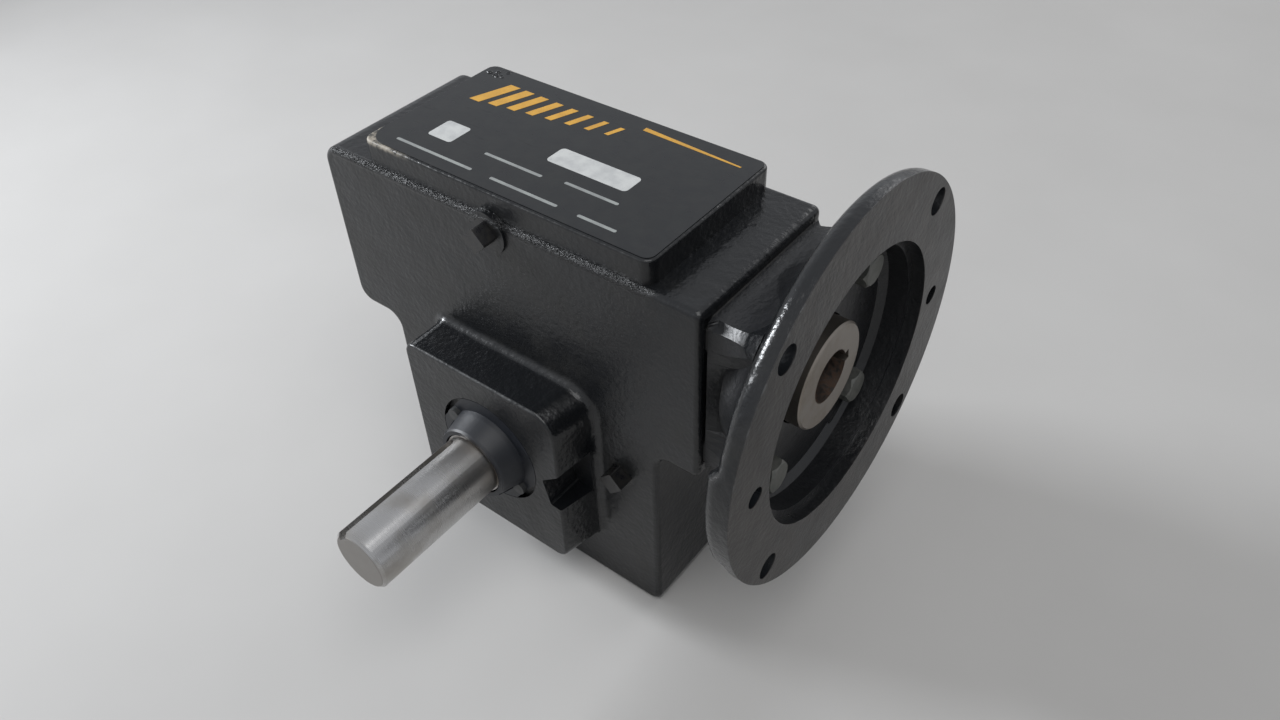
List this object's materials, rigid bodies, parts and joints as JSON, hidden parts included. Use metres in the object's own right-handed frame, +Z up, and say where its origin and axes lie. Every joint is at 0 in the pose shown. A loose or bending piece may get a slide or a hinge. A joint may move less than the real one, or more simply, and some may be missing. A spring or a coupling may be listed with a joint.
{
  "type": "worm gearbox",
  "caption": "Right-angle worm gear reducer with a hollow motor-flange input and a solid output shaft.",
  "frame": {"origin": "centre of the output axis projected down to the base face", "axes": "+Z up, +X along the worm axis out of the motor flange, -Y along the free end of the output shaft"},
  "size_m": [0.238, 0.2205, 0.2262],
  "materials": {
    "cast_black": "gloss",
    "pressed_black": "satin",
    "gasket_paper": "matte",
    "screw_steel": "satin",
    "ground_steel": "ground",
    "gear_bronze": "satin",
    "hub_iron": "matte",
    "seal_rubber": "matte",
    "bearing_steel": "polished",
    "cage_brass": "satin"
  },
  "bodies": {
    "gearcase": {"housing": "cast_black", "motor_adapter": "cast_black", "rear_cover": "cast_black", "seal_guard": "cast_black", "worm_end_plug": "pressed_black", "fill_plug": "pressed_black", "level_plug": "pressed_black", "adapter_gasket": "gasket_paper", "rear_cover_gasket": "gasket_paper", "adapter_screws": "screw_steel", "rear_cover_screws": "screw_steel", "seal_guard_screws": "screw_steel", "input_seal": "seal_rubber", "output_seal": "seal_rubber", "worm_front_bearing_outer_race": "bearing_steel", "worm_rear_bearing_outer_race": "bearing_steel", "output_front_bearing_outer_race": "bearing_steel", "output_rear_bearing_outer_race": "bearing_steel"},
    "worm": {"worm_shaft": "ground_steel", "worm_front_bearing_inner_race": "bearing_steel", "worm_rear_bearing_inner_race": "bearing_steel"},
    "output": {"output_shaft": "ground_steel", "gear_rim": "gear_bronze", "gear_hub": "hub_iron", "gear_key": "ground_steel", "gear_spacer": "ground_steel", "output_front_bearing_inner_race": "bearing_steel", "output_rear_bearing_inner_race": "bearing_steel"},
    "worm_front_cage": {"worm_front_bearing_cage": "cage_brass", "worm_front_bearing_balls": "bearing_steel"},
    "worm_rear_cage": {"worm_rear_bearing_cage": "cage_brass", "worm_rear_bearing_balls": "bearing_steel"},
    "output_front_cage": {"output_front_bearing_cage": "cage_brass", "output_front_bearing_rollers": "bearing_steel"},
    "output_rear_cage": {"output_rear_bearing_cage": "cage_brass", "output_rear_bearing_rollers": "bearing_steel"}
  },
  "joints": [
    {"name": "output_spin", "type": "hinge", "parent": "gearcase", "child": "output", "pos_m": [0, 0, 0.077], "axis": [0, 1, 0], "continuous": true},
    {"name": "worm_spin", "type": "hinge", "parent": "gearcase", "child": "worm", "pos_m": [0, 0, 0.14367], "axis": [1, 0, 0], "continuous": true},
    {"name": "worm_front_cage_spin", "type": "hinge", "parent": "gearcase", "child": "worm_front_cage", "pos_m": [0.0885, 0, 0.14367], "axis": [1, 0, 0], "continuous": true},
    {"name": "worm_rear_cage_spin", "type": "hinge", "parent": "gearcase", "child": "worm_rear_cage", "pos_m": [-0.0755, 0, 0.14367], "axis": [1, 0, 0], "continuous": true},
    {"name": "output_front_cage_spin", "type": "hinge", "parent": "gearcase", "child": "output_front_cage", "pos_m": [0, -0.04, 0.077], "axis": [0, 1, 0], "continuous": true},
    {"name": "output_rear_cage_spin", "type": "hinge", "parent": "gearcase", "child": "output_rear_cage", "pos_m": [0, 0.038, 0.077], "axis": [0, 1, 0], "continuous": true}
  ],
  "couplings": [
    {"joint": "worm_spin", "follows": "output_spin", "ratio": -15},
    {"joint": "worm_front_cage_spin", "follows": "output_spin", "ratio": -6.4035},
    {"joint": "worm_rear_cage_spin", "follows": "output_spin", "ratio": -5.9745},
    {"joint": "output_front_cage_spin", "follows": "output_spin", "ratio": 0.4348},
    {"joint": "output_rear_cage_spin", "follows": "output_spin", "ratio": 0.4348}
  ]
}
